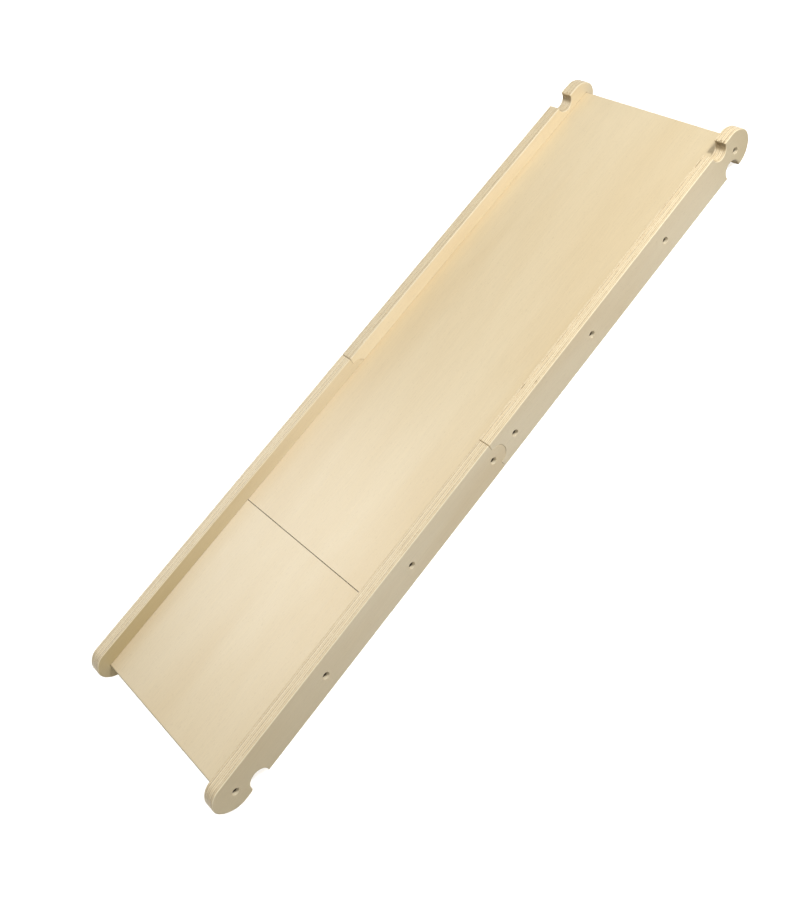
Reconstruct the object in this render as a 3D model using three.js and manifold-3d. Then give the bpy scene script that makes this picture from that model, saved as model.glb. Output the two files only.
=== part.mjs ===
// Toddler slide: a two-way plywood ramp that hooks over a rung of a climbing frame.
//
// Two side rails, each made of an upper and a lower half that meet in a rounded tongue and socket, hold a thin
// deck between them. The deck is two panels with their long edges in grooves in the rails, and socket-head wood
// screws hold every rail half to the panels' edges. Slats under the deck are the climbing side.
//
// Frame: +X up the slide towards its upper end, +Y to the left rail, +Z out of the sliding face. The origin is
// on the surface that the rails rest on, below the middle of the slide. All sizes are in millimetres.

import * as THREE from 'three';
import { mergeVertices } from 'three/addons/utils/BufferGeometryUtils.js';
import Module from 'manifold-3d';

const wasm = await Module();
wasm.setup();

// ---- Driving dimensions ----

const fitGap = 0.3;               // clearance between pieces that touch

const slideWidth = 334;           // over the outer faces of the two rails
const lowerRailLength = 580;      // from the rail joint to the lower tip
const upperRailLength = 614;      // from the rail joint to the upper tip
const railThickness = 21;
const railHeight = 57;
const railRoundOver = 2;          // radius along the edges of the rails

const tipRise = 32;               // height of the foremost point of each tip
const lowerTipRunBelow = 34;      // length of the curve under the lower tip
const lowerTipRunAbove = 24;      // length of the curve over the lower tip
const upperTipRunAbove = 28;
const hookToTipCurve = 3;         // straight edge between the upper hook and the curve under the upper tip

const hookRadius = 15;            // round notch that drops over a rung
const lowerHookFromTip = 63.5;    // lower tip to the centre of its hook
const lowerHookInset = 3.5;       // bottom edge to the centre of the lower hook
const lowerHookNoseRadius = 5;    // rounded mouth corner on the tip's side
const upperHookFromTip = 53.5;    // upper tip to the centre of the hook in the bottom edge
const upperHookInset = 4;
const turnedHookFromTip = 61.7;   // upper tip to the centre of the hook in the top edge
const turnedHookInset = 1.5;

const tongueRadius = 16;          // rounded tongue of the lower rail half
const tongueCentre = 1.2;         // rail joint to the centre of the tongue
const socketCornerRadius = 2.5;   // eased corners of the upper rail half at the joint

const deckThickness = 9;
const deckMidHeight = 28;         // height of the middle of the deck, and of the screws
const grooveDepth = 6;
const lowerDeckInset = 19;        // lower tip to the end of the deck
const upperDeckInset = 15.5;      // upper tip to the end of the deck
const lowerPanelLength = 303;
const deckSeamGap = 0.6;
const deckEndRadius = 2;          // eased ends of the deck

const screwsPerHalf = 4;
const tipToScrew = 35;            // tip of a rail to its first screw
const screwToJointLower = 8;      // last screw of the lower half to the rail joint
const jointToScrewUpper = 41;     // rail joint to the first screw of the upper half
const counterboreRadius = 5.2;
const counterboreDepth = 9;
const screwHeadRadius = 4.4;
const screwHeadHeight = 4;
const screwShankRadius = 2.2;
const screwShankLength = 38;      // under the head, with its point
const screwPointLength = 5;
const screwSocketAcrossCorners = 4.6;
const screwSocketDepth = 2.2;

const slatWidth = 26;
const slatThickness = 12;
const slatEdgeRadius = 4;         // rounded lower edges, where feet and hands go
const hookToSlat = 42;            // centre of a hook to the centre of the nearest slat
const slatsBelowSeam = 2;
const slatsAboveSeam = 7;

// ---- Places worked out from them ----

const jointX = (lowerRailLength - upperRailLength) / 2;
const lowerTipX = jointX - lowerRailLength;
const upperTipX = jointX + upperRailLength;
const insideWidth = slideWidth - 2 * railThickness;

const upperHookHalfMouth = Math.sqrt(hookRadius ** 2 - upperHookInset ** 2);
const upperTipRunBelow = upperHookFromTip - upperHookHalfMouth - hookToTipCurve;

const lowerHookX = lowerTipX + lowerHookFromTip;
const upperHookX = upperTipX - upperHookFromTip;
const turnedHookX = upperTipX - turnedHookFromTip;

const deckLowerX = lowerTipX + lowerDeckInset;
const deckUpperX = upperTipX - upperDeckInset;
const seamX = deckLowerX + lowerPanelLength;
const deckWidth = insideWidth + 2 * (grooveDepth - fitGap);
const deckUnderside = deckMidHeight - deckThickness / 2;

const slatTop = deckUnderside - fitGap;
const slatLength = insideWidth - 2 * fitGap;

// Screws stand at equal steps between the tip of a rail half and the joint.
function screwPlaces(first, last) {
  const step = (last - first) / (screwsPerHalf - 1);
  return Array.from({ length: screwsPerHalf }, (_, i) => first + i * step);
}

const screwXs = [
  ...screwPlaces(lowerTipX + tipToScrew, jointX - screwToJointLower),
  ...screwPlaces(jointX + jointToScrewUpper, upperTipX - tipToScrew),
];

const sides = [
  { name: 'right', sign: -1 },
  { name: 'left', sign: 1 },
];

// ---- Materials ----

const faceVeneer = { color: 0xd9c8a2, roughness: 0.55, metalness: 0 };
const deckVeneer = { color: 0xe6d8b4, roughness: 0.5, metalness: 0 };
const slatVeneer = { color: 0xdccba5, roughness: 0.58, metalness: 0 };
const blackenedSteel = { color: 0x3a3733, roughness: 0.45, metalness: 0.85 };

// ---- Solids: closed meshes that can be joined and cut ----

function solidFrom(geometry) {
  const plain = geometry.clone();
  plain.deleteAttribute('normal');
  plain.deleteAttribute('uv');
  const merged = mergeVertices(plain);
  const corners = merged.index.array;
  const triangles = [];
  for (let i = 0; i < corners.length; i += 3) {
    const [a, b, c] = corners.slice(i, i + 3);
    if (a !== b && b !== c && c !== a) triangles.push(a, b, c);
  }
  return new wasm.Manifold(new wasm.Mesh({
    numProp: 3,
    vertProperties: new Float32Array(merged.attributes.position.array),
    triVerts: new Uint32Array(triangles),
  }));
}

function geometryFrom(solid) {
  const mesh = solid.getMesh();
  const geometry = new THREE.BufferGeometry();
  geometry.setAttribute('position', new THREE.BufferAttribute(mesh.vertProperties, 3));
  geometry.setIndex(new THREE.BufferAttribute(mesh.triVerts, 1));
  geometry.computeVertexNormals();
  return geometry;
}

// The profile as straight steps, without the points that stand on top of the one before.
function stepped(profile) {
  const points = profile.getPoints(12);
  return new THREE.Shape(points.filter((point, i) => point.distanceTo(points.at(i - 1)) > 0.01));
}

// A profile drawn in X and Z, made `length` wide along Y about the place `middleY`.
function acrossSlide(profile, length, middleY, roundOver = 0) {
  const geometry = new THREE.ExtrudeGeometry(stepped(profile), {
    depth: length - 2 * roundOver,
    bevelEnabled: roundOver > 0,
    bevelThickness: roundOver,
    bevelSize: roundOver,
    bevelOffset: -roundOver,
    bevelSegments: 3,
  });
  geometry.translate(0, 0, roundOver - length / 2);
  geometry.rotateX(Math.PI / 2);
  geometry.translate(0, middleY, 0);
  return geometry;
}

function block(lowX, highX, lowZ, highZ, length, middleY) {
  const profile = new THREE.Shape();
  profile.moveTo(lowX, lowZ);
  profile.lineTo(highX, lowZ);
  profile.lineTo(highX, highZ);
  profile.lineTo(lowX, highZ);
  return acrossSlide(profile, length, middleY);
}

// A round bar along Y from `startY` to `endY`.
function barAcross(radius, x, z, startY, endY) {
  const bar = new THREE.CylinderGeometry(radius, radius, Math.abs(endY - startY), 24);
  bar.translate(x, (startY + endY) / 2, z);
  return bar;
}

// ---- Rails ----

// A quarter turn from the profile's last point to `end`, a little flatter than an ellipse.
function roundCorner(profile, corner, end) {
  const start = profile.currentPoint;
  profile.bezierCurveTo(
    (start.x + corner.x) / 2, (start.y + corner.y) / 2,
    (end.x + corner.x) / 2, (end.y + corner.y) / 2,
    end.x, end.y,
  );
}

// Outline of a whole rail, anticlockwise from the lower tip's foremost point.
function railOutline() {
  const profile = new THREE.Shape();
  const point = (x, y) => new THREE.Vector2(x, y);
  profile.moveTo(lowerTipX, tipRise);
  roundCorner(profile, point(lowerTipX, 0), point(lowerTipX + lowerTipRunBelow, 0));

  // Lower hook: its mouth corner on the tip's side is a nose, rounded into the notch.
  const centres = hookRadius + lowerHookNoseRadius;
  const noseDrop = lowerHookInset - lowerHookNoseRadius;
  const noseX = lowerHookX - Math.sqrt(centres ** 2 - noseDrop ** 2);
  const noseAngle = Math.atan2(noseDrop, lowerHookX - noseX);
  profile.lineTo(noseX, 0);
  profile.absarc(noseX, lowerHookNoseRadius, lowerHookNoseRadius, -Math.PI / 2, noseAngle, false);
  const lowerMouth = -Math.asin(lowerHookInset / hookRadius);
  profile.absarc(lowerHookX, lowerHookInset, hookRadius, Math.PI + noseAngle, lowerMouth, true);

  // Upper hook in the bottom edge.
  const upperMouth = Math.asin(upperHookInset / hookRadius);
  profile.lineTo(upperHookX - upperHookHalfMouth, 0);
  profile.absarc(upperHookX, upperHookInset, hookRadius, Math.PI + upperMouth, -upperMouth, true);

  profile.lineTo(upperTipX - upperTipRunBelow, 0);
  roundCorner(profile, point(upperTipX, 0), point(upperTipX, tipRise));
  roundCorner(profile, point(upperTipX, railHeight), point(upperTipX - upperTipRunAbove, railHeight));

  // Hook in the top edge, for the board turned over.
  const turnedMouth = Math.asin(turnedHookInset / hookRadius);
  const turnedHookZ = railHeight - turnedHookInset;
  profile.lineTo(turnedHookX + hookRadius * Math.cos(turnedMouth), railHeight);
  profile.absarc(turnedHookX, turnedHookZ, hookRadius, turnedMouth, Math.PI - turnedMouth, true);

  profile.lineTo(lowerTipX + lowerTipRunAbove, railHeight);
  roundCorner(profile, point(lowerTipX, railHeight), point(lowerTipX, tipRise));
  return profile;
}

const beyond = 20;                // how far the cutting shapes reach past the rail

// The side of the rail joint that the lower half fills, with its tongue.
function lowerHalfRegion() {
  const middle = railHeight / 2;
  const neck = Math.acos(-tongueCentre / tongueRadius);
  const neckHeight = tongueRadius * Math.sin(neck);
  const region = new THREE.Shape();
  region.moveTo(lowerTipX - beyond, -beyond);
  region.lineTo(jointX, -beyond);
  region.lineTo(jointX, middle - neckHeight);
  region.absarc(jointX + tongueCentre, middle, tongueRadius, -neck, neck, false);
  region.lineTo(jointX, railHeight + beyond);
  region.lineTo(lowerTipX - beyond, railHeight + beyond);
  return region;
}

// The side that the upper half fills, with the socket and eased corners.
function upperHalfRegion() {
  const middle = railHeight / 2;
  const shoulderX = jointX + fitGap;
  const socketRadius = tongueRadius + fitGap;
  const neck = Math.acos((fitGap - tongueCentre) / socketRadius);
  const ease = socketCornerRadius;
  const region = new THREE.Shape();
  region.moveTo(upperTipX + beyond, -beyond);
  region.lineTo(upperTipX + beyond, railHeight + beyond);
  region.lineTo(shoulderX + ease, railHeight + beyond);
  region.absarc(shoulderX + ease, railHeight - ease, ease, Math.PI / 2, Math.PI, false);
  region.absarc(jointX + tongueCentre, middle, socketRadius, neck, -neck, true);
  region.absarc(shoulderX + ease, ease, ease, Math.PI, Math.PI * 1.5, false);
  region.lineTo(shoulderX + ease, -beyond);
  return region;
}

function wholeRail(side) {
  const middleY = side.sign * (slideWidth - railThickness) / 2;
  const outerY = side.sign * slideWidth / 2;
  const innerY = side.sign * insideWidth / 2;
  let rail = solidFrom(acrossSlide(railOutline(), railThickness, middleY, railRoundOver));

  const grooveHalf = deckThickness / 2 + fitGap;
  const groove = block(
    deckLowerX - fitGap, deckUpperX + fitGap, deckMidHeight - grooveHalf, deckMidHeight + grooveHalf,
    2 * grooveDepth, innerY,
  );
  rail = rail.subtract(solidFrom(groove));

  for (const x of screwXs) {
    const seatY = outerY - side.sign * counterboreDepth;
    const counterbore = barAcross(counterboreRadius, x, deckMidHeight, outerY + side.sign * beyond, seatY);
    const clearance = barAcross(screwShankRadius + fitGap, x, deckMidHeight, outerY, innerY);
    rail = rail.subtract(solidFrom(counterbore)).subtract(solidFrom(clearance));
  }
  return rail;
}

function railHalf(rail, region) {
  return geometryFrom(rail.intersect(solidFrom(acrossSlide(region, slideWidth * 2, 0))));
}

// ---- Deck panels ----

// Profile of a panel from `startX` to `endX`; an end that meets the seam stays square.
function panelProfile(startX, endX, easeStart, easeEnd) {
  const low = deckUnderside;
  const high = deckUnderside + deckThickness;
  const profile = new THREE.Shape();
  profile.moveTo(startX + easeStart, low);
  profile.lineTo(endX - easeEnd, low);
  if (easeEnd > 0) {
    profile.absarc(endX - easeEnd, low + easeEnd, easeEnd, -Math.PI / 2, 0, false);
    profile.absarc(endX - easeEnd, high - easeEnd, easeEnd, 0, Math.PI / 2, false);
  } else {
    profile.lineTo(endX, high);
  }
  profile.lineTo(startX + easeStart, high);
  if (easeStart > 0) {
    profile.absarc(startX + easeStart, high - easeStart, easeStart, Math.PI / 2, Math.PI, false);
    profile.absarc(startX + easeStart, low + easeStart, easeStart, Math.PI, Math.PI * 1.5, false);
  }
  return profile;
}

function deckPanel(startX, endX, easeStart, easeEnd) {
  let panel = solidFrom(acrossSlide(panelProfile(startX, endX, easeStart, easeEnd), deckWidth, 0));
  const holeEndY = slideWidth / 2 - counterboreDepth - screwShankLength - fitGap;
  for (const x of screwXs.filter((place) => place > startX && place < endX)) {
    for (const side of sides) {
      const hole = barAcross(
        screwShankRadius + fitGap, x, deckMidHeight, side.sign * holeEndY, side.sign * slideWidth / 2,
      );
      panel = panel.subtract(solidFrom(hole));
    }
  }
  return geometryFrom(panel);
}

// ---- Screws ----

// One screw standing on the origin: the head's outer face at y = 0, its point along +Y.
function screwGeometry() {
  const head = screwHeadRadius;
  const shank = screwShankRadius;
  const ease = 0.5;
  const tipY = screwHeadHeight + screwShankLength;
  const profile = [
    [0, tipY],
    [shank, tipY - screwPointLength],
    [shank, screwHeadHeight],
    [head, screwHeadHeight],
    [head, ease],
    [head - ease, 0],
    [0, 0],
  ].map(([radius, y]) => new THREE.Vector2(radius, y));
  const body = solidFrom(new THREE.LatheGeometry(profile.reverse(), 20));
  const corner = screwSocketAcrossCorners / 2;
  const socket = new THREE.CylinderGeometry(corner, corner, 2 * screwSocketDepth, 6);
  return geometryFrom(body.subtract(solidFrom(socket)));
}

// ---- Climbing slats ----

function slatProfile(middleX) {
  const half = slatWidth / 2;
  const low = slatTop - slatThickness;
  const profile = new THREE.Shape();
  profile.moveTo(middleX - half, slatTop);
  profile.absarc(middleX - half + slatEdgeRadius, low + slatEdgeRadius, slatEdgeRadius,
    Math.PI, Math.PI * 1.5, false);
  profile.absarc(middleX + half - slatEdgeRadius, low + slatEdgeRadius, slatEdgeRadius,
    -Math.PI / 2, 0, false);
  profile.lineTo(middleX + half, slatTop);
  return profile;
}

// Slats stand at equal steps from each hook to the seam, and one of them bridges the seam.
function slatPlaces() {
  const firstX = lowerHookX + hookToSlat;
  const lastX = upperHookX - hookToSlat;
  const lowerStep = (seamX - firstX) / slatsBelowSeam;
  const upperStep = (lastX - seamX) / slatsAboveSeam;
  const below = Array.from({ length: slatsBelowSeam }, (_, i) => firstX + i * lowerStep);
  const above = Array.from({ length: slatsAboveSeam + 1 }, (_, i) => seamX + i * upperStep);
  return [...below, ...above];
}

// ---- Assembly ----

const slide = new THREE.Group();

function add(name, geometry, finish) {
  const mesh = new THREE.Mesh(geometry, new THREE.MeshStandardMaterial(finish));
  mesh.name = name;
  slide.add(mesh);
  return mesh;
}

for (const side of sides) {
  const rail = wholeRail(side);
  add(`rail_lower_${side.name}`, railHalf(rail, lowerHalfRegion()), faceVeneer);
  add(`rail_upper_${side.name}`, railHalf(rail, upperHalfRegion()), faceVeneer);
}

add('deck_panel_lower', deckPanel(deckLowerX, seamX - deckSeamGap / 2, deckEndRadius, 0), deckVeneer);
add('deck_panel_upper', deckPanel(seamX + deckSeamGap / 2, deckUpperX, 0, deckEndRadius), deckVeneer);

for (const side of sides) {
  screwXs.forEach((x, i) => {
    const screw = add(`screw_${side.name}_${i + 1}`, screwGeometry(), blackenedSteel);
    const headY = slideWidth / 2 - counterboreDepth + screwHeadHeight + fitGap;
    screw.position.set(x, side.sign * headY, deckMidHeight);
    screw.rotation.z = side.sign > 0 ? Math.PI : 0;
  });
}

slatPlaces().forEach((x, i) => {
  const name = `climbing_slat_${String(i + 1).padStart(2, '0')}`;
  add(name, acrossSlide(slatProfile(x), slatLength, 0), slatVeneer);
});

export default slide;
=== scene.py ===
"""Builds a birch plywood toddler slide in the place of its CAD frame, and a studio round it."""

import math
import random
from collections import namedtuple

import bmesh
import bpy
from bpy.props import FloatProperty, FloatVectorProperty, IntProperty, PointerProperty
from mathutils import Matrix, Quaternion, Vector
from mathutils.geometry import interpolate_bezier


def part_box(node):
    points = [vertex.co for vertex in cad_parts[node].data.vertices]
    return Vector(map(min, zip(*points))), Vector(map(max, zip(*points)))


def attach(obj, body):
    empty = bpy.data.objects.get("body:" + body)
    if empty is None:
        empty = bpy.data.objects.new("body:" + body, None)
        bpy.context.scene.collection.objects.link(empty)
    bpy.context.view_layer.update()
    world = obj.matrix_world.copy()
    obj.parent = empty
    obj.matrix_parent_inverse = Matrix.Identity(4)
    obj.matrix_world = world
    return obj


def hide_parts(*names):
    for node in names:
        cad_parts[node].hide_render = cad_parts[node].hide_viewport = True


bl_info = {
    "name": "Toddler Slide",
    "version": (1, 0, 0),
    "blender": (4, 5, 0),
    "location": "3D View > Sidebar > Slide",
    "description": "Builds a plywood toddler slide around its CAD frame",
    "category": "Add Mesh",
}

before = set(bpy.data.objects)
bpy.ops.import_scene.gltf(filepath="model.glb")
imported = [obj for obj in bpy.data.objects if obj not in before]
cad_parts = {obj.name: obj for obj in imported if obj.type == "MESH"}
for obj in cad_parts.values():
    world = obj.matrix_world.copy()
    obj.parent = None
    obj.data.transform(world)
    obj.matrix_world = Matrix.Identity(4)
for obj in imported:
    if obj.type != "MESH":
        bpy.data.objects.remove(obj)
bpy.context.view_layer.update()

MM = 0.001
BODY = "root"
SIDES = {"right": -1, "left": 1}
SCREWS_PER_HALF = 4
SLATS = 10
FIT_GAP = 0.3 * MM
SEAM_EASE = 0.25 * MM
SLAT_EASE = 0.4 * MM
BORE_SLACK = 0.05 * MM
CUT_BEYOND = 5 * MM

# How far apart points may lie and still count as one.
SAME_PLACE = 0.01 * MM
WELD = 0.002 * MM
TURNED_WELD = 0.001 * MM

# Edges flatter than the first are shaded smooth, and edges sharper than the second are real corners.
SMOOTH_ANGLE = math.radians(32)
CORNER_ANGLE = math.radians(60)

# How many steps each round shape is drawn in.
HOOK_STEPS = 40
TONGUE_STEPS = 48
BORE_STEPS = 48
TIP_STEPS = 14
NOSE_STEPS = 8
SOCKET_EASE_STEPS = 6
HEAD_STEPS = 40
THREAD_STEPS = 20
RIM_SEGMENTS = 6
DECK_END_SEGMENTS = 6
SLAT_SEGMENTS = 8
CHAMFER_SEGMENTS = 2

# Each plank is its own piece of wood. Painted shade darkens it towards the tips, where the light falls off:
# the fourth field is how dark it gets, and the fifth how far from the middle of the slide that starts, in
# metres.
Plank = namedtuple(
    "Plank", "tone edge_tone end_dark handling handled_from", defaults=(1.0, 1.0, 0.4, 0.0, 0.5),
)
TIP_SHADE_TO = 0.6
PLANKS = {
    "lower_right": Plank(1.0, 0.97, end_dark=0.1, handling=0.45, handled_from=0.25),
    "upper_right": Plank(1.0, 1.03, end_dark=0.8, handling=0.65, handled_from=0.47),
    # The left planks' higher tone is painted light, brightening their inner faces as light thrown up from the
    # deck would.
    "lower_left": Plank(1.1, 0.98, end_dark=0.1, handling=1.0, handled_from=0.05),
    "upper_left": Plank(1.18, 0.9, end_dark=0.8, handling=0.2, handled_from=0.5),
}
DECK_PLANK = Plank(edge_tone=0.55)
LEFT_SEED, DECK_SEED, SLAT_SEED = 20, 40, 60

# How rough the sanded wood is, and how much satin lacquer lies on it: most on the deck, which must be slick.
RAIL_ROUGHNESS, DECK_ROUGHNESS, SLAT_ROUGHNESS = 0.5, 0.4, 0.5
RAIL_COAT, DECK_COAT, SLAT_COAT = 0.12, 0.3, 0.1

# How dark the glue lines are at each share of the thickness, from a rail's outer face or from the top face.
RAIL_GLUE = (
    (0, 0.2), (0.16, 0.2), (0.2, 1), (0.25, 0.2), (0.48, 0.2), (0.53, 0.9), (0.58, 0.2), (0.76, 0.25),
    (0.8, 1), (0.85, 0.25), (1, 0.5),
)
DECK_GLUE = ((0, 0.6), (0.3, 0.8), (0.7, 0.6), (1, 0.9))
SLAT_GLUE = ((0, 0.6), (0.5, 0.9), (1, 0.6))

# Patterns of the wood, each drawn from noise: its size in millimetres along the grain, across it and through
# the plies, the two values of the noise between which it comes up, and how strong it is below and above them.
# Fibres, pores and speckle are some ten times too wide, since real ones are too fine to show.
Pattern = namedtuple(
    "Pattern", "along across through low high weakest strongest detail distortion shape",
    defaults=(0, 1, 0, 1, 2, 0, "SMOOTHSTEP"),
)
PATTERNS = {
    "waver": Pattern(111.1, 111.1, 111.1, weakest=-0.17, strongest=0.17, shape="LINEAR"),
    "figure": Pattern(625, 111.1, 1000, low=0.3, high=0.72, detail=3, distortion=0.4),
    "patches": Pattern(416.7, 166.7, 1000, low=0.48, high=0.78, strongest=0.3),
    "pores": Pattern(6.25, 0.7143, 0.7143, low=0.66, high=0.74, strongest=0.16, detail=1),
    "fibres": Pattern(33.33, 1.111, 1.111, low=0.3, high=0.7, weakest=0.92, detail=3),
    "speckle": Pattern(1.4286, 1.4286, 1.4286, low=0.35, high=0.7, weakest=0.25),
    "streaks": Pattern(71.43, 2, 1.4286, low=0.58, high=0.75, strongest=0.3),
    "dashes": Pattern(26.32, 16.67, 3.333, low=0.4, high=0.55, weakest=0.3, detail=3),
}
PATTERN_SHIFT = (3.1, 1.7, 2.3)
BARE_FUZZ = (8.333, 1.111, 8.333)
STEEL_GRAIN = 1.111
STEEL_RUB = 3.846
FLOOR_FLECK = 2.5

# Colour factors, on red, green and blue or on all three.
PATCH_TINT = (0.93, 0.88, 0.78)
# Painted shade towards the tips.
TIP_SHADE_TINT = (0.72, 0.71, 0.6)
# Painted shade on end-on faces, with some darker end grain.
END_GRAIN_AND_SHADE_TONE = 0.55
DRY_WOOD = 0.82

# How far a surface has to turn towards the grain to show end grain, towards the plies to show the face veneer,
# and below level to be wrapped by it, each from a first trace to the full amount.
END_ON = (0.55, 0.85)
FACE_ON = (0.8, 0.97)
BELOW_LEVEL = (-0.1, 0.1)

# How much the plies differ in tone, how much the fibres show, and how wide the glue lines are, in plies.
PLY_TONES = 0.4
FIBRES_SHOW = 0.55
GLUE_CORE = 0.02
GLUE_WIDTH, GLUE_EXTRA_WIDTH = 0.08, 0.24

# Relief under the lacquer: how much the fibres stand up and the glue lines sink, and how much of it shows.
FIBRE_RISE, GLUE_SINK = 0.6, -0.8
WOOD_RELIEF, BARE_RELIEF, STEEL_RELIEF = (0.2, 0.12 * MM), (0.3, 0.1 * MM), (0.2, 0.05 * MM)
LACQUER_IOR = 1.5
LACQUER_ROUGHNESS = 0.3
SHEEN_SPREAD = (-0.05, 0.06)

# Where noise is read from, and the roughness at both ends of that.
NOISE_SPAN = (0.3, 0.7)
BARE_ROUGHNESS = (0.7, 0.85)
STEEL_ROUGHNESS = (0.32, 0.5)
PAPER_ROUGHNESS = (0.75, 0.9)
OXIDE_METALLIC = 0.9

# Voids in the top edge of the upper rails, where core veneers meet short: how far past the joint each starts
# and how long it runs, in millimetres, and the share of the thickness that lies outside it.
Gap = namedtuple("Gap", "start run share")
CORE_GAPS = (Gap(93, 7, 0.8), Gap(110, 4, 0.2), Gap(514, 15, 0.8), Gap(536, 7, 0.2))
CORE_GAP_WIDTH = 1.4 * MM
CORE_GAP_DEPTH = 3 * MM

# Plies torn out past the far lip of the hook in that edge, as a cutter does where it leaves the wood. The
# outermost plies hold, and each of the others loses a length and a depth of its own over most of its width.
TORN_FROM = 2
TORN_BACK = 2 * MM
TORN_REACH = (0.5 * MM, 7 * MM)
TORN_DEPTH = (5 * MM, 9 * MM)
TORN_SHARE = 0.8

# The studio, in metres.
FLOOR_HALF = 8
FLOOR_DROP = 0.2 * MM
KEY_AT, KEY_TO, KEY_SIZE = (1.1, -1.2, 1.6), (0, 0, 0), 0.3
GLOSS_AT, GLOSS_TO, GLOSS_SIZE = (-0.3, 1.75, 2.0), (-0.2, 0, 0), 1.1
BACK_AT, BACK_TO, BACK_SIZE = (0.3, 2.6, 0.5), (0, 0, 0), 1.4
KEY_TINT, GLOSS_TINT, BACK_TINT = (1, 0.98, 0.95), (1, 0.99, 0.97), (1, 1, 1)
HORIZON_BLEND = 0.1
SENSOR_WIDTH = 36
CLIP_NEAR, CLIP_FAR = 0.01, 100

MATH = "ShaderNodeMath"
RANGE = "ShaderNodeMapRange"
MIX = "ShaderNodeMix"
NOISE = "ShaderNodeTexNoise"
COORDS = "ShaderNodeTexCoord"
MAPPING = "ShaderNodeMapping"
SPLIT = "ShaderNodeSeparateXYZ"
BUMP = "ShaderNodeBump"
PRINCIPLED = "ShaderNodeBsdfPrincipled"
OUTPUT = "ShaderNodeOutputMaterial"


def linear(hex_colour):
    """An sRGB hex colour as linear red, green and blue."""
    channels = [int(hex_colour[i:i + 2], 16) / 255 for i in (1, 3, 5)]
    return [c / 12.92 if c <= 0.04045 else ((c + 0.055) / 1.055) ** 2.4 for c in channels]


def length(name, description, millimetres):
    return FloatProperty(name=name, description=description, default=millimetres * MM, min=0, unit="LENGTH")


def colour(name, description, hex_colour):
    return FloatVectorProperty(
        name=name, description=description, default=linear(hex_colour), size=3, min=0, max=1, subtype="COLOR",
    )


def point(name, description, place):
    return FloatVectorProperty(
        name=name, description=description, default=place, subtype="XYZ", unit="LENGTH",
    )


def amount(name, description, value, subtype="NONE"):
    return FloatProperty(name=name, description=description, default=value, min=0, subtype=subtype)


# ---- What a user would change ----


class SlideSizes(bpy.types.PropertyGroup):
    round_over: length("Round-over", "Radius along the edges of the rails", 2)
    tip_rise: length("Tip rise", "Height of the foremost point of each tip", 32)
    lower_tip_below: length("Lower tip, below", "Length of the curve under the lower tip", 34)
    lower_tip_above: length("Lower tip, above", "Length of the curve over the lower tip", 24)
    upper_tip_above: length("Upper tip, above", "Length of the curve over the upper tip", 28)
    hook_to_curve: length("Hook to curve", "Straight edge between the upper hook and the tip's curve", 3)
    hook_radius: length("Hook radius", "Half-round notch that drops over a rung", 15)
    lower_hook_in: length("Lower hook", "Lower tip to the centre of its hook", 63.5)
    lower_hook_inset: length("Lower hook inset", "Bottom edge to the centre of the lower hook", 3.5)
    nose_radius: length("Nose radius", "Rounded corner between the lower hook and the tip", 5)
    upper_hook_in: length("Upper hook", "Upper tip to the centre of the hook in the bottom edge", 53.5)
    upper_hook_inset: length("Upper hook inset", "Bottom edge to the centre of the upper hook", 4)
    turned_hook_in: length("Turned hook", "Upper tip to the centre of the hook in the top edge", 61.7)
    turned_hook_inset: length("Turned hook inset", "Top edge to the centre of the hook in it", 1.5)
    tongue_radius: length("Tongue radius", "Round tongue of the lower half at the rail joint", 16)
    tongue_centre: length("Tongue centre", "Rail joint to the centre of the tongue", 1.2)
    socket_ease: length("Socket ease", "Radius of the upper half's corners at the joint", 2.5)
    joint_chamfer: length("Joint chamfer", "Worn edge along the joint", 0.6)
    groove_depth: length("Groove depth", "How far the deck sits in each rail", 6)
    counterbore: length("Counterbore radius", "Recess over each screw head", 5.2)
    counterbore_depth: length("Counterbore depth", "Outer face to the screw head's seat", 9)
    counterbore_flare: length("Counterbore flare", "Sanded rim of each recess", 0.5)
    clearance_radius: length("Clearance radius", "Hole for the screw's shank", 2.5)
    deck_end_radius: length("Deck end radius", "Eased ends of the deck", 2)
    slat_radius: length("Slat radius", "Rounded lower edges of the climbing slats", 4)
    ply: length("Ply thickness", "Thickness of one birch veneer", 1.4)
    head_height: length("Head height", "Height of a screw's head", 4)
    head_ease: length("Head ease", "Rounded rim of a screw's head", 0.6)
    shank_radius: length("Shank radius", "Radius of a screw's shank", 1.6)
    point_length: length("Point length", "Length of a screw's point", 5)
    hex_radius: length("Hex radius", "Centre to corner of the hexagon socket in a screw's head", 2.3)
    hex_depth: length("Hex depth", "Depth of the hexagon socket in a screw's head", 2.2)
    thread_pitch: length("Thread pitch", "Screw's advance in one turn", 2.4)
    thread_radius: length("Thread radius", "Radius at the thread's crest", 2.2)
    thread_root: length("Thread root", "Radius at the thread's foot, just inside the shank", 1.5)
    thread_foot: length("Thread foot", "Half the width of the thread at its foot", 0.5)
    thread_end: length("Thread end", "Where the thread ends, from the screw's tip", 4)
    thread_turns: IntProperty(name="Thread turns", description="Turns of the thread", default=11, min=1)


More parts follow.
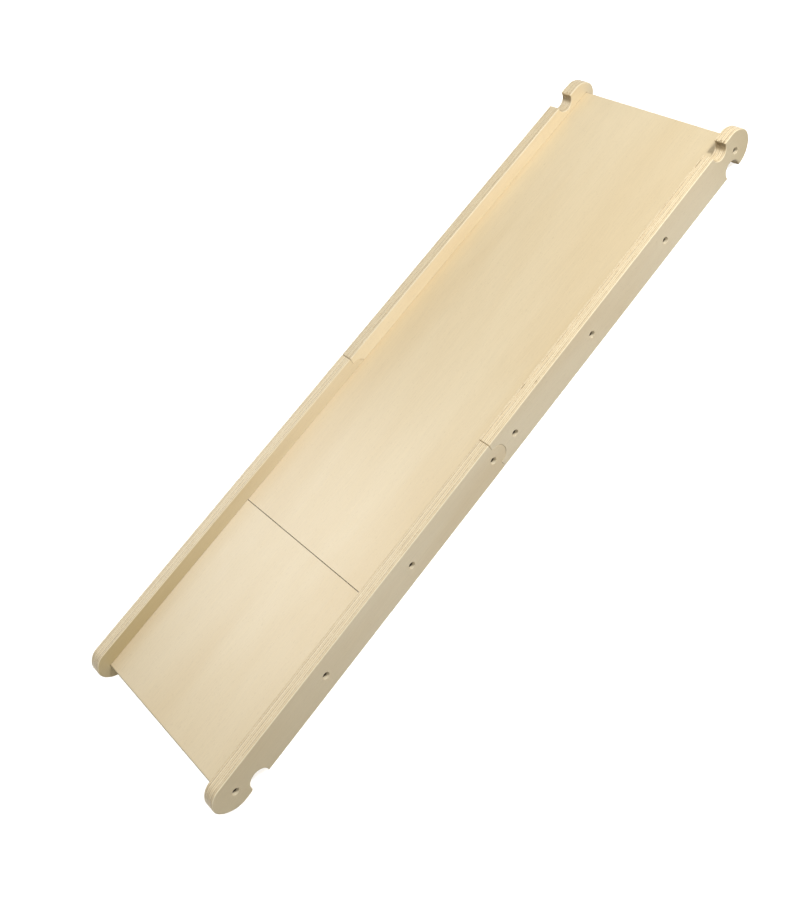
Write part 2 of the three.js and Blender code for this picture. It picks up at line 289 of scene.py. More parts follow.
class SlideColours(bpy.types.PropertyGroup):
    deck_light: colour("Deck, light", "Lighter figure of the deck's face veneer", "#E3D3B0")
    deck_warm: colour("Deck, warm", "Warmer figure of the deck's face veneer", "#DECBA4")
    rail_light: colour("Rail, light", "Lighter figure of the rails' face veneer", "#E4D7BA")
    rail_warm: colour("Rail, warm", "Warmer figure of the rails' face veneer", "#DBC9A6")
    edge_light: colour("Edge, light", "Plies whose grain runs along the edge", "#F6EACC")
    edge_end: colour("Edge, end grain", "Plies that show their end grain", "#D4B987")
    glue: colour("Glue line", "Phenolic glue between the plies", "#7A5B34")
    drilled: colour("Drilled wood", "Bare wood in the screw recesses", "#F4E8CC")
    # Painted shade in the crevice between the deck panels.
    seam: colour("Seam", "Dust on the panel ends at the seam", "#6B5636")
    steel: colour("Screw steel", "Black oxide on the screws", "#4E4740")
    rubbed: colour("Rubbed steel", "Where a driver has rubbed the screws", "#6E665C")
    floor: colour("Floor", "Paper of the studio floor", "#F8F8F7")
    air: colour("Light all round", "Tint of the even light", "#FFFDFA")


class StudioSettings(bpy.types.PropertyGroup):
    camera_at: point("Camera", "Where the camera stands", (-0.2866, -1.2245, 1.4099))
    look_at: point("Look at", "Point that the lens axis meets", (0.2074, 0.2683, 0.028))
    roll: FloatProperty(
        name="Roll", description="Turn of the camera about its axis", default=math.radians(-37.42),
        subtype="ANGLE",
    )
    lens: amount("Lens", "Focal length", 56.67, "DISTANCE_CAMERA")
    rise: FloatProperty(name="Rise", description="Vertical shift of the lens", default=-0.265)
    key: amount("Key light", "Power of the main light", 31, "POWER")
    fill: amount("Soft box", "Power of the soft box behind", 19, "POWER")
    back: amount("Back fill", "Power of the low light behind", 11, "POWER")
    wash: amount("Floor wash", "Strength of the light on the floor", 2.3)
    sky: amount("Sky", "Strength of the even light from above", 0.58)
    below: amount("Below", "Strength of the even light from below", 0.23)
    backdrop: amount("Backdrop", "Brightness of the far background", 1.05)
    seed: IntProperty(name="Seed", description="Start of the random numbers", default=7)


# ---- Mesh helpers ----


class Outline:
    """A closed outline in the XZ plane, drawn edge by edge in a bmesh."""

    def __init__(self, x, z, y):
        self.bm = bmesh.new()
        self.y = y
        self.first = self.bm.verts.new((x, y, z))
        self.last = self.first

    def line(self, x, z):
        new = self.bm.verts.new((x, self.y, z))
        self.bm.edges.new((self.last, new))
        self.last = new

    def arc(self, x, z, angle, steps):
        """Turns the last point about (x, z), anticlockwise for a positive angle."""
        made = bmesh.ops.spin(
            self.bm, geom=[self.last], cent=(x, self.y, z), axis=(0, -1, 0), angle=angle, steps=steps,
        )
        self.last = next(g for g in made["geom_last"] if isinstance(g, bmesh.types.BMVert))

    def ease(self, corner, end):
        """A quarter turn towards `corner` that ends at `end`."""
        places = ((self.last.co.x, self.last.co.z), corner, end)
        start, corner, end = (Vector((x, self.y, z)) for x, z in places)
        curve = interpolate_bezier(start, (start + corner) / 2, (end + corner) / 2, end, TIP_STEPS)
        for place in curve[1:]:
            self.line(place.x, place.z)

    def filled(self, thickness):
        """Closes the outline and gives the solid plate."""
        bm = self.bm
        if (self.last.co - self.first.co).length > SAME_PLACE:
            bm.edges.new((self.last, self.first))
        bmesh.ops.remove_doubles(bm, verts=bm.verts[:], dist=SAME_PLACE)
        face = bmesh.ops.contextual_create(bm, geom=bm.edges[:])["faces"][0]
        made = bmesh.ops.extrude_face_region(bm, geom=[face])
        moved = [g for g in made["geom"] if isinstance(g, bmesh.types.BMVert)]
        bmesh.ops.translate(bm, vec=(0, thickness, 0), verts=moved)
        bmesh.ops.recalc_face_normals(bm, faces=bm.faces[:])
        return bm


def bevel(bm, edges, offset, segments):
    bmesh.ops.bevel(
        bm, geom=edges, offset=offset, offset_type="OFFSET", segments=segments, profile=0.5, affect="EDGES",
        material=-1, clamp_overlap=False, loop_slide=True,
    )


def box_solid(low, high):
    """A closed block between two corners."""
    low, high = Vector(low), Vector(high)
    bm = bmesh.new()
    bmesh.ops.create_cube(bm, size=1)
    bmesh.ops.scale(bm, vec=high - low, verts=bm.verts[:])
    bmesh.ops.translate(bm, vec=(low + high) / 2, verts=bm.verts[:])
    return bm


def turned(profile, at, steps):
    """A closed solid turned about a line along Y through `at`, from (radius, y) pairs from axis to axis."""
    bm = bmesh.new()
    verts = [bm.verts.new((at.x + radius, y, at.z)) for radius, y in profile]
    edges = [bm.edges.new(pair) for pair in zip(verts, verts[1:])]
    bmesh.ops.spin(
        bm, geom=verts + edges, cent=(at.x, 0, at.z), axis=(0, 1, 0), angle=math.tau, steps=steps,
        use_merge=True,
    )
    bmesh.ops.remove_doubles(bm, verts=bm.verts[:], dist=TURNED_WELD)
    bmesh.ops.recalc_face_normals(bm, faces=bm.faces[:])
    return bm


def mesh_from(bm, name):
    mesh = bpy.data.meshes.new(name)
    bm.to_mesh(mesh)
    bm.free()
    return mesh


def joined(solids):
    """Several separate solids as one bmesh."""
    whole = bmesh.new()
    for solid in solids:
        part = mesh_from(solid, "part")
        whole.from_mesh(part)
        bpy.data.meshes.remove(part)
    return whole


def carved(bm, tool):
    """The solid with the tool's shape cut out of it."""
    body = bpy.data.objects.new("carved", mesh_from(bm, "carved"))
    cutter = bpy.data.objects.new("cutter", mesh_from(tool, "cutter"))
    scene = bpy.context.scene.collection
    scene.objects.link(body)
    scene.objects.link(cutter)
    cut = body.modifiers.new("cut", "BOOLEAN")
    cut.operation = "DIFFERENCE"
    cut.solver = "EXACT"
    cut.object = cutter
    depsgraph = bpy.context.evaluated_depsgraph_get()
    mesh = bpy.data.meshes.new_from_object(body.evaluated_get(depsgraph))
    result = bmesh.new()
    result.from_mesh(mesh)
    for thing in (body, cutter):
        data = thing.data
        bpy.data.objects.remove(thing)
        bpy.data.meshes.remove(data)
    bpy.data.meshes.remove(mesh)
    return result


def publish(bm, name, node, slot, *materials):
    """Makes the finished piece, with crisp corners and smooth curves, in place of its CAD node."""
    bmesh.ops.remove_doubles(bm, verts=bm.verts[:], dist=WELD)
    for face in bm.faces:
        face.smooth = True
    for edge in bm.edges:
        edge.smooth = edge.calc_face_angle(0) < SMOOTH_ANGLE
    mesh = mesh_from(bm, name)
    for material in materials:
        mesh.materials.append(material)
    piece = bpy.data.objects.new(name, mesh)
    bpy.context.scene.collection.objects.link(piece)
    flat = piece.modifiers.new("flat faces", "WEIGHTED_NORMAL")
    flat.keep_sharp = True
    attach(piece, BODY)
    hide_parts(node)
    return piece


# ---- Materials ----


def add(tree, kind, inputs=(), **settings):
    """Adds a node with its settings, and its inputs by name or number, or in their order.

    An input is a value, a socket to link from, or a node whose first output in use is linked.
    """
    node = tree.nodes.new(kind)
    for name, value in settings.items():
        setattr(node, name, value)
    for key, value in inputs.items() if isinstance(inputs, dict) else enumerate(inputs):
        socket = node.inputs[key]
        if isinstance(value, bpy.types.Node):
            value = next(output for output in value.outputs if output.enabled)
        if isinstance(value, bpy.types.NodeSocket):
            tree.links.new(value, socket)
        elif socket.type == "RGBA":
            socket.default_value = (*value[:3], 1)
        else:
            socket.default_value = value
    return node


def new_material(name):
    material = bpy.data.materials.new(name)
    material.use_nodes = True
    tree = material.node_tree
    tree.nodes.clear()
    return material, tree


def plywood(name, layers, grain, thickness, outer, light, warm, seed, glue_lines, roughness, coat, plank):
    """Birch plywood, sliced and glued, then sanded and given a clear satin lacquer.

    `layers` is the axis across the plies, `grain` the axis of the face grain, and `outer` the height of the
    face that depths are counted from.
    """
    colours = bpy.context.scene.slide_colours
    ply = bpy.context.scene.slide_sizes.ply
    light, warm = ([c * plank.tone for c in shade] for shade in (light, warm))
    material, tree = new_material(name)
    coords = add(tree, COORDS)
    through, along = "XYZ".index(layers), "XYZ".index(grain)
    at = add(tree, SPLIT, (coords.outputs["Object"],))
    facing = add(tree, SPLIT, (coords.outputs["Normal"],))

    # Every pattern is noise drawn out along the grain, and the seed gives each plank its own stretch of it.
    noise, wood = {}, {}
    shift = [seed * share for share in PATTERN_SHIFT]
    for kind, pattern in PATTERNS.items():
        scale = [1 / (pattern.across * MM)] * 3
        scale[along] = 1 / (pattern.along * MM)
        scale[through] = 1 / (pattern.through * MM)
        spot = add(
            tree, MAPPING, {"Vector": coords.outputs["Object"], "Location": shift, "Scale": scale},
        )
        noise[kind] = add(
            tree, NOISE,
            {"Vector": spot, "Scale": 1, "Detail": pattern.detail, "Distortion": pattern.distortion},
        )
        wood[kind] = add(
            tree, RANGE, (noise[kind], pattern.low, pattern.high, pattern.weakest, pattern.strongest),
            interpolation_type=pattern.shape,
        )

    # Depth below the outer face, counted in plies. It wavers a little, so that no glue line is dead straight.
    across = add(tree, MATH, (at.outputs[through],), operation="ABSOLUTE")
    depth = add(tree, MATH, (across, -1 / ply, outer / ply), operation="MULTIPLY_ADD")
    depth = add(tree, MATH, (depth, wood["waver"]), operation="ADD")
    depth = add(tree, MATH, (depth, 0.01), operation="MAXIMUM")
    index = add(tree, MATH, (depth,), operation="FLOOR")
    share = add(tree, MATH, (depth, ply / thickness), operation="MULTIPLY")

    # Face veneer: broad soft figure, warmer patches and short pores give it its calm, silky look.
    face = add(tree, MIX, {0: wood["figure"], 6: light, 7: warm}, data_type="RGBA")
    patch = [c * k for c, k in zip(warm, PATCH_TINT)]
    face = add(tree, MIX, {0: wood["patches"], 6: face, 7: patch}, data_type="RGBA")
    face = add(tree, MIX, {0: wood["pores"], 6: face, 7: colours.glue}, data_type="RGBA")

    # Edges: each ply has its own tone, and every second one shows its end grain, which makes the stripes.
    odd = add(tree, MATH, (index, 2), operation="MODULO")
    end_on = add(tree, MATH, (facing.outputs[along],), operation="ABSOLUTE")
    end_on = add(tree, RANGE, (end_on, *END_ON), interpolation_type="SMOOTHSTEP")
    end_grain = add(tree, MATH, (odd, end_on), operation="SUBTRACT")
    end_grain = add(tree, MATH, (end_grain,), operation="ABSOLUTE")
    end_grain = add(tree, MATH, (end_grain, wood["speckle"]), operation="MULTIPLY")
    edge = add(tree, MIX, {0: end_grain, 6: colours.edge_light, 7: colours.edge_end}, data_type="RGBA")
    own_number = add(tree, MATH, (index, seed), operation="ADD")
    tone = add(tree, "ShaderNodeTexWhiteNoise", {"W": own_number}, noise_dimensions="1D")
    tone = add(tree, MATH, (tone, PLY_TONES), operation="MULTIPLY")
    edge = add(tree, MIX, {0: tone, 6: edge, 7: colours.edge_end}, data_type="RGBA")
    edge = add(tree, MIX, {0: wood["streaks"], 6: edge, 7: colours.glue}, data_type="RGBA")
    # Painted shade on end-on faces, most on the upper halves' hook walls, with some darker cut end grain.
    end_grain_and_shade_mask = add(tree, MATH, (end_on, plank.end_dark), operation="MULTIPLY")
    end_grain_and_shade_colour = [c * END_GRAIN_AND_SHADE_TONE for c in colours.edge_end]
    edge = add(tree, MIX, {0: end_grain_and_shade_mask, 6: edge, 7: end_grain_and_shade_colour}, data_type="RGBA")
    plank_tone = [plank.edge_tone] * 3
    edge = add(tree, MIX, {0: 1, 6: edge, 7: plank_tone}, data_type="RGBA", blend_type="MULTIPLY")

    # Glue lines: thin and dark, stronger at some depths, and broken into dashes where the glue ran thin.
    strength = add(tree, "ShaderNodeValToRGB", (share,))
    stops = strength.color_ramp.elements
    while len(stops) < len(glue_lines):
        stops.new(0.5)
    for stop, (place, darkness) in zip(stops, glue_lines):
        stop.position = place
        stop.color = (darkness, darkness, darkness, 1)
    gap = add(tree, MATH, (depth, 0.5), operation="PINGPONG")
    width = add(tree, MATH, (strength, GLUE_EXTRA_WIDTH, GLUE_WIDTH), operation="MULTIPLY_ADD")
    line = add(tree, RANGE, (gap, GLUE_CORE, width, 1, 0), interpolation_type="SMOOTHSTEP")
    line = add(tree, MATH, (line, wood["dashes"]), operation="MULTIPLY")
    line = add(tree, MATH, (line, strength), operation="MULTIPLY")
    edge = add(tree, MIX, {0: line, 6: edge, 7: colours.glue}, data_type="RGBA")

    # Painted shade: the face darkens towards the tips, where the light falls off.
    from_middle = add(tree, MATH, (at.outputs["X"],), operation="ABSOLUTE")
    tip_shade_mask = add(
        tree, RANGE, (from_middle, plank.handled_from, TIP_SHADE_TO, 0, plank.handling),
        interpolation_type="SMOOTHSTEP",
    )
    tip_shade_colour = [c * k for c, k in zip(warm, TIP_SHADE_TINT)]
    face = add(tree, MIX, {0: tip_shade_mask, 6: face, 7: tip_shade_colour}, data_type="RGBA")

    # The veneer covers the flat faces and wraps the round-overs below them. Above, sanding has cut through it.
    flat = add(tree, MATH, (facing.outputs[through],), operation="ABSOLUTE")
    flat = add(tree, RANGE, (flat, *FACE_ON), interpolation_type="SMOOTHSTEP")
    off_centre = add(tree, MATH, (share, 0.5), operation="SUBTRACT")
    off_centre = add(tree, MATH, (off_centre,), operation="ABSOLUTE")
    outermost = add(tree, MATH, (off_centre, 0.5 - ply / thickness), operation="GREATER_THAN")
    downwards = add(tree, RANGE, (facing.outputs["Z"], *BELOW_LEVEL, 1, 0), interpolation_type="SMOOTHSTEP")
    veneer = add(tree, MATH, (outermost, downwards), operation="MULTIPLY")
    veneer = add(tree, MATH, (flat, veneer), operation="MAXIMUM")
    base = add(tree, MIX, {0: veneer, 6: edge, 7: face}, data_type="RGBA")
    silk = {0: FIBRES_SHOW, 6: base, 7: wood["fibres"]}
    base = add(tree, MIX, silk, data_type="RGBA", blend_type="MULTIPLY")

    # Lacquer sinks between the fibres and into the glue lines, which breaks the sheen up.
    raised = add(tree, MATH, (noise["fibres"], FIBRE_RISE), operation="MULTIPLY")
    sunk = add(tree, MATH, (line, GLUE_SINK), operation="MULTIPLY")
    height = add(tree, MATH, (raised, sunk), operation="ADD")
    show, relief = WOOD_RELIEF
    bump = add(tree, BUMP, {"Height": height, "Strength": show, "Distance": relief})
    slick, dull = (roughness + change for change in SHEEN_SPREAD)
    sheen = add(
        tree, RANGE, (noise["fibres"], *NOISE_SPAN, slick, dull), interpolation_type="SMOOTHSTEP",
    )
    shader = add(
        tree, PRINCIPLED,
        {
            "Base Color": base,
            "Roughness": sheen,
            "Normal": bump,
            "IOR": LACQUER_IOR,
            "Coat Weight": coat,
            "Coat Roughness": LACQUER_ROUGHNESS,
        },
    )
    add(tree, OUTPUT, {"Surface": shader})
    return material


def bare_wood(name, wood):
    """Unlacquered birch, cut across: it looks drier, duller and rougher than the lacquered faces round it."""
    material, tree = new_material(name)
    coords = add(tree, COORDS)
    scale = [1 / (size * MM) for size in BARE_FUZZ]
    rings = add(tree, MAPPING, {"Vector": coords.outputs["Object"], "Scale": scale})
    fuzz = add(tree, NOISE, {"Vector": rings, "Scale": 1, "Detail": 3})
    tint = add(tree, MIX, {0: fuzz, 6: [c * DRY_WOOD for c in wood], 7: wood}, data_type="RGBA")
    rough = add(tree, RANGE, (fuzz, *NOISE_SPAN, *BARE_ROUGHNESS))
    show, relief = BARE_RELIEF
    bump = add(tree, BUMP, {"Height": fuzz, "Strength": show, "Distance": relief})
    shader = add(tree, PRINCIPLED, {"Base Color": tint, "Roughness": rough, "Normal": bump})
    add(tree, OUTPUT, {"Surface": shader})
    return material


def black_oxide_steel():
    """Hardened steel with a black oxide finish: dark, slightly oily, brighter where a driver rubbed it."""
    colours = bpy.context.scene.slide_colours
    material, tree = new_material("black oxide steel")
    place = add(tree, COORDS).outputs["Object"]
    grain = add(tree, NOISE, {"Vector": place, "Scale": 1 / (STEEL_GRAIN * MM), "Detail": 3})
    rub = add(tree, NOISE, {"Vector": place, "Scale": 1 / (STEEL_RUB * MM), "Detail": 2})
    tint = add(tree, MIX, {0: rub, 6: colours.steel, 7: colours.rubbed}, data_type="RGBA")
    rough = add(tree, RANGE, (grain, *NOISE_SPAN, *STEEL_ROUGHNESS))
    show, relief = STEEL_RELIEF
    bump = add(tree, BUMP, {"Height": grain, "Strength": show, "Distance": relief})
    shader = add(
        tree, PRINCIPLED,
        {"Base Color": tint, "Metallic": OXIDE_METALLIC, "Roughness": rough, "Normal": bump},
    )
    add(tree, OUTPUT, {"Surface": shader})
    return material


def studio_paper():
    """Matt white background paper: an even white with hardly any gloss."""
    material, tree = new_material("white studio floor")
    place = add(tree, COORDS).outputs["Object"]
    fleck = add(tree, NOISE, {"Vector": place, "Scale": 1 / (FLOOR_FLECK * MM)})
    rough = add(tree, RANGE, (fleck, 0, 1, *PAPER_ROUGHNESS))
    shader = add(
        tree, PRINCIPLED, {"Base Color": bpy.context.scene.slide_colours.floor, "Roughness": rough},
    )
    add(tree, OUTPUT, {"Surface": shader})
    return material


# ---- Rails ----


def nose(sizes, hook_x):
    """Centre and end angle of the rounded corner between the lower hook and its tip."""
    drop = sizes.lower_hook_inset - sizes.nose_radius
    reach = math.sqrt((sizes.hook_radius + sizes.nose_radius) ** 2 - drop ** 2)
    return hook_x - reach, math.atan2(drop, reach)


def mouth(sizes, inset):
    """Half the width of a hook's mouth, and the angle from its centre down to the mouth's corner."""
    return math.sqrt(sizes.hook_radius ** 2 - inset ** 2), math.asin(inset / sizes.hook_radius)


def lower_half(sizes, low, high, joint):
    """Plate of a lower rail half with its hook and tongue."""
    top = high.z
    outline = Outline(low.x, sizes.tip_rise, low.y)
    outline.ease((low.x, 0), (low.x + sizes.lower_tip_below, 0))
    hook_x = low.x + sizes.lower_hook_in
    nose_x, nose_angle = nose(sizes, hook_x)
    outline.line(nose_x, 0)
    outline.arc(nose_x, sizes.nose_radius, math.pi / 2 + nose_angle, NOSE_STEPS)
    corner = mouth(sizes, sizes.lower_hook_inset)[1]
    outline.arc(hook_x, sizes.lower_hook_inset, -(math.pi + nose_angle + corner), HOOK_STEPS)
    outline.line(joint, 0)
    neck = math.acos(-sizes.tongue_centre / sizes.tongue_radius)
    outline.line(joint, top / 2 - sizes.tongue_radius * math.sin(neck))
    outline.arc(joint + sizes.tongue_centre, top / 2, 2 * neck, TONGUE_STEPS)
    outline.line(joint, top)
    outline.line(low.x + sizes.lower_tip_above, top)
    outline.ease((low.x, top), (low.x, sizes.tip_rise))
    return outline.filled(high.y - low.y)


def upper_half(sizes, low, high, joint):
    """Plate of an upper rail half with its two hooks and its socket."""
    top = high.z
    ease = sizes.socket_ease
    outline = Outline(low.x + ease, 0, low.y)
    half, corner = mouth(sizes, sizes.upper_hook_inset)
    hook_x = high.x - sizes.upper_hook_in
    outline.line(hook_x - half, 0)
    outline.arc(hook_x, sizes.upper_hook_inset, -(math.pi + 2 * corner), HOOK_STEPS)
    outline.line(hook_x + half + sizes.hook_to_curve, 0)
    outline.ease((high.x, 0), (high.x, sizes.tip_rise))
    outline.ease((high.x, top), (high.x - sizes.upper_tip_above, top))
    half, corner = mouth(sizes, sizes.turned_hook_inset)
    turned_x = high.x - sizes.turned_hook_in
    outline.line(turned_x + half, top)
    outline.arc(turned_x, top - sizes.turned_hook_inset, -(math.pi + 2 * corner), HOOK_STEPS)
    outline.line(low.x + ease, top)
    outline.arc(low.x + ease, top - ease, math.pi / 2, SOCKET_EASE_STEPS)
    socket = sizes.tongue_radius + FIT_GAP
    neck = math.acos((low.x - joint - sizes.tongue_centre) / socket)
    outline.line(low.x, top / 2 + socket * math.sin(neck))
    outline.arc(joint + sizes.tongue_centre, top / 2, -2 * neck, TONGUE_STEPS)
    outline.line(low.x, ease)
    outline.arc(low.x + ease, ease, math.pi / 2, SOCKET_EASE_STEPS)
    return outline.filled(high.y - low.y)


def rim_edges(bm, low, high):
    """Edges along the outer and the inner face of a plate."""
    return [
        edge for edge in bm.edges
        if any(all(abs(v.co.y - y) < SAME_PLACE for v in edge.verts) for y in (low.y, high.y))
    ]


def round_rims(bm, sizes, low, high, joint, shoulder):
    """Rounds the plate's long edges over, and only breaks the edges that meet at the joint."""
    centre = Vector((joint + sizes.tongue_centre, high.z / 2))
    radius = sizes.tongue_radius + shoulder - joint

    def at_joint(edge):
        return all(
            abs(v.co.x - shoulder) < SAME_PLACE or abs((v.co.xz - centre).length - radius) < SAME_PLACE
            for v in edge.verts
        )

    long_edges = [edge for edge in rim_edges(bm, low, high) if not at_joint(edge)]
    bevel(bm, long_edges, sizes.round_over, RIM_SEGMENTS)
    joint_edges = [edge for edge in rim_edges(bm, low, high) if at_joint(edge)]
    bevel(bm, joint_edges, sizes.joint_chamfer, CHAMFER_SEGMENTS)


def deck_groove(sizes, side, low, high, deck):
    """Cutting shape for the groove in a rail's inner face that holds the deck."""
    inner = low.y if SIDES[side] > 0 else high.y
    ys = (inner - sizes.groove_depth, inner + sizes.groove_depth)
    return box_solid(
        (deck[0].x - FIT_GAP, ys[0], deck[0].z - FIT_GAP), (deck[1].x + FIT_GAP, ys[1], deck[1].z + FIT_GAP),
    )


def screw_holes(sizes, side, low, high, screws):
    """Cutting shapes for a rail's stepped holes: each has a sanded rim, a recess and a clearance hole."""
    sign = SIDES[side]
    outer, inner = (high.y, low.y) if sign > 0 else (low.y, high.y)
    flare = sizes.counterbore_flare
    wide = sizes.counterbore + flare
    seat = outer - sign * sizes.counterbore_depth
    profile = [
        (0, outer + sign * CUT_BEYOND),
        (wide, outer + sign * CUT_BEYOND),
        (wide, outer),
        (sizes.counterbore + flare * 0.35, outer - sign * flare * 0.4),
        (sizes.counterbore, outer - sign * flare),
        (sizes.counterbore, seat),
        (sizes.clearance_radius, seat),
        (sizes.clearance_radius, inner - sign * CUT_BEYOND),
        (0, inner - sign * CUT_BEYOND),
    ]
    return joined([turned(profile, place, BORE_STEPS) for place in screws])


def edge_flaws(sizes, side, low, high, joint, seed):
    """Cutting shapes for the flaws in a rail's top edge: plies torn at the hook, and voids in the core."""
    outer, inner = (high.y, low.y) if SIDES[side] > 0 else (low.y, high.y)
    rng = random.Random(seed)
    lip = high.x - sizes.turned_hook_in + mouth(sizes, sizes.turned_hook_inset)[0]
    above = high.z + MM
    flaws = []
    plies = round((high.y - low.y) / sizes.ply)
    for layer in range(TORN_FROM, plies - TORN_FROM):
        y = low.y + layer * sizes.ply
        end = lip + rng.uniform(*TORN_REACH)
        floor = high.z - rng.uniform(*TORN_DEPTH)
        flaws.append(box_solid((lip - TORN_BACK, y, floor), (end, y + TORN_SHARE * sizes.ply, above)))
    for gap in CORE_GAPS:
        y = outer + gap.share * (inner - outer)
        start = joint + gap.start * MM
        end = start + gap.run * MM
        half = CORE_GAP_WIDTH / 2
        flaws.append(box_solid((start, y - half, high.z - CORE_GAP_DEPTH), (end, y + half, above)))
    return joined(flaws)


class SLIDE_OT_rails(bpy.types.Operator):
    """Builds the four rail halves with hooks, tongue joints, deck grooves and screw holes"""

    bl_idname = "slide.rails"
    bl_label = "Rails"

    def execute(self, context):
        sizes = context.scene.slide_sizes
        colours = context.scene.slide_colours
        flaws_from = context.scene.slide_studio.seed
        deck = (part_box("deck_panel_lower")[0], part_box("deck_panel_upper")[1])
        # Pale walls catch the light inside the dark screw recesses.
        drilled = bare_wood("bare drilled birch", colours.drilled)
        bored_within = sizes.counterbore + BORE_SLACK
        for side in SIDES:
            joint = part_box(f"rail_upper_{side}")[0].x - FIT_GAP
            for half, first in (("lower", 1), ("upper", 1 + SCREWS_PER_HALF)):
                node = f"rail_{half}_{side}"
                low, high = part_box(node)
                corners = [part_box(f"screw_{side}_{i}") for i in range(first, first + SCREWS_PER_HALF)]
                screws = [(start + end) / 2 for start, end in corners]
                build = lower_half if half == "lower" else upper_half
                bm = build(sizes, low, high, joint)
                round_rims(bm, sizes, low, high, joint, joint if half == "lower" else low.x)
                bm = carved(bm, deck_groove(sizes, side, low, high, deck))
                bm = carved(bm, screw_holes(sizes, side, low, high, screws))
                if half == "upper":
                    bm = carved(bm, edge_flaws(sizes, side, low, high, joint, flaws_from + first))
                for face in bm.faces:
                    face.material_index = int(any(
                        all((v.co.xz - place.xz).length < bored_within for v in face.verts)
                        for place in screws
                    ))
                seed = first + (LEFT_SEED if side == "left" else 0)
                wood = plywood(
                    f"birch plywood, {half} {side} rail", "Y", "X", high.y - low.y,
                    max(abs(low.y), abs(high.y)), colours.rail_light, colours.rail_warm, seed, RAIL_GLUE,
                    RAIL_ROUGHNESS, RAIL_COAT, PLANKS[f"{half}_{side}"],
                )
                publish(bm, f"{half}_rail_{side}", node, "birch_plywood_rail", wood, drilled)
        return {"FINISHED"}


# ---- Deck ----


class SLIDE_OT_deck(bpy.types.Operator):
    """Builds the two deck panels, with eased ends and a crisp seam between them"""

    bl_idname = "slide.deck"
    bl_label = "Deck"

    def execute(self, context):
        sizes = context.scene.slide_sizes
        colours = context.scene.slide_colours
        # Painted shade: the raw ends are dark, so the crevice draws the seam as one dark line across the
        # slide.
        seam_shade = bare_wood("birch seam in painted shade", colours.seam)
        for half, outer_end in (("lower", 0), ("upper", 1)):
            node = f"deck_panel_{half}"
            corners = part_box(node)
            bm = box_solid(*corners)
            end = corners[outer_end].x
            across = [
                edge for edge in bm.edges
                if all(abs(v.co.x - end) < MM for v in edge.verts)
                and abs(edge.verts[0].co.z - edge.verts[1].co.z) < MM
            ]
            bevel(bm, across, sizes.deck_end_radius, DECK_END_SEGMENTS)
            sharp = [edge for edge in bm.edges if edge.calc_face_angle(0) > CORNER_ANGLE]
            bevel(bm, sharp, SEAM_EASE, CHAMFER_SEGMENTS)
            wood = plywood(
                f"birch plywood, {half} deck", "Z", "X", corners[1].z - corners[0].z, corners[1].z,
                colours.deck_light, colours.deck_warm, DECK_SEED + outer_end, DECK_GLUE, DECK_ROUGHNESS,
                DECK_COAT, DECK_PLANK,
            )
            seam = corners[1 - outer_end].x
            for face in bm.faces:
                face.material_index = int(abs(face.calc_center_median().x - seam) < SEAM_EASE)
            publish(bm, f"{half}_deck", node, "birch_plywood_deck", wood, seam_shade)
        return {"FINISHED"}


# ---- Climbing slats ----


class SLIDE_OT_slats(bpy.types.Operator):
    """Builds the climbing slats under the deck, rounded where feet and hands go"""

    bl_idname = "slide.slats"
    bl_label = "Climbing slats"

    def execute(self, context):
        sizes = context.scene.slide_sizes
        colours = context.scene.slide_colours
        low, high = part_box("climbing_slat_01")
        wood = plywood(
            "birch plywood, slats", "Z", "Y", high.z - low.z, high.z,
            colours.rail_light, colours.rail_warm, SLAT_SEED, SLAT_GLUE, SLAT_ROUGHNESS, SLAT_COAT, Plank(),
        )
        for i in range(1, SLATS + 1):
            node = f"climbing_slat_{i:02d}"
            low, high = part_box(node)
            bm = box_solid(low, high)
            lower = [
                edge for edge in bm.edges
                if all(abs(v.co.z - low.z) < MM for v in edge.verts)
                and abs(edge.verts[0].co.x - edge.verts[1].co.x) < MM
            ]
            bevel(bm, lower, sizes.slat_radius, SLAT_SEGMENTS)
            sharp = [edge for edge in bm.edges if edge.calc_face_angle(0) > CORNER_ANGLE]
            bevel(bm, sharp, SLAT_EASE, CHAMFER_SEGMENTS)
            publish(bm, f"slat_{i:02d}", node, "birch_plywood_slat", wood)
        return {"FINISHED"}


# ---- Screws ----


